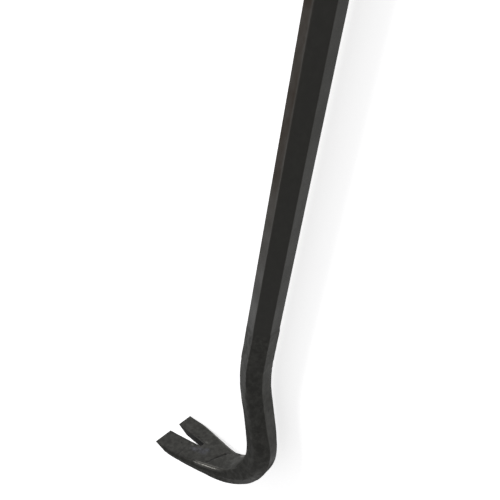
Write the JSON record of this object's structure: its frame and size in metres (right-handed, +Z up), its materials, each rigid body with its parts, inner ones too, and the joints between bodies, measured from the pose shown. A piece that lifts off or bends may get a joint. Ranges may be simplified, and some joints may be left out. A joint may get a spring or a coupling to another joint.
{
  "type": "gooseneck wrecking bar",
  "caption": "Forged hexagonal steel pry bar with a gooseneck hook, a flared claw with a V-shaped nail slot, and a slightly angled flat chisel at the other end.",
  "frame": {"origin": "the point of the surface that the bar lies on below the middle of its bounding box; the bar lies on its side", "axes": "+X along the shaft from the hook to the chisel, +Y the side that the claw points to, +Z up, square to the plane of the hook's bend"},
  "size_m": [0.6132, 0.096, 0.0398],
  "materials": {
    "forged_steel": "dark, oiled forging scale, worn to bare grey steel along the corners and blade edges"
  },
  "bodies": {
    "root": {"forged_bar": "forged_steel"}
  },
  "joints": []
}
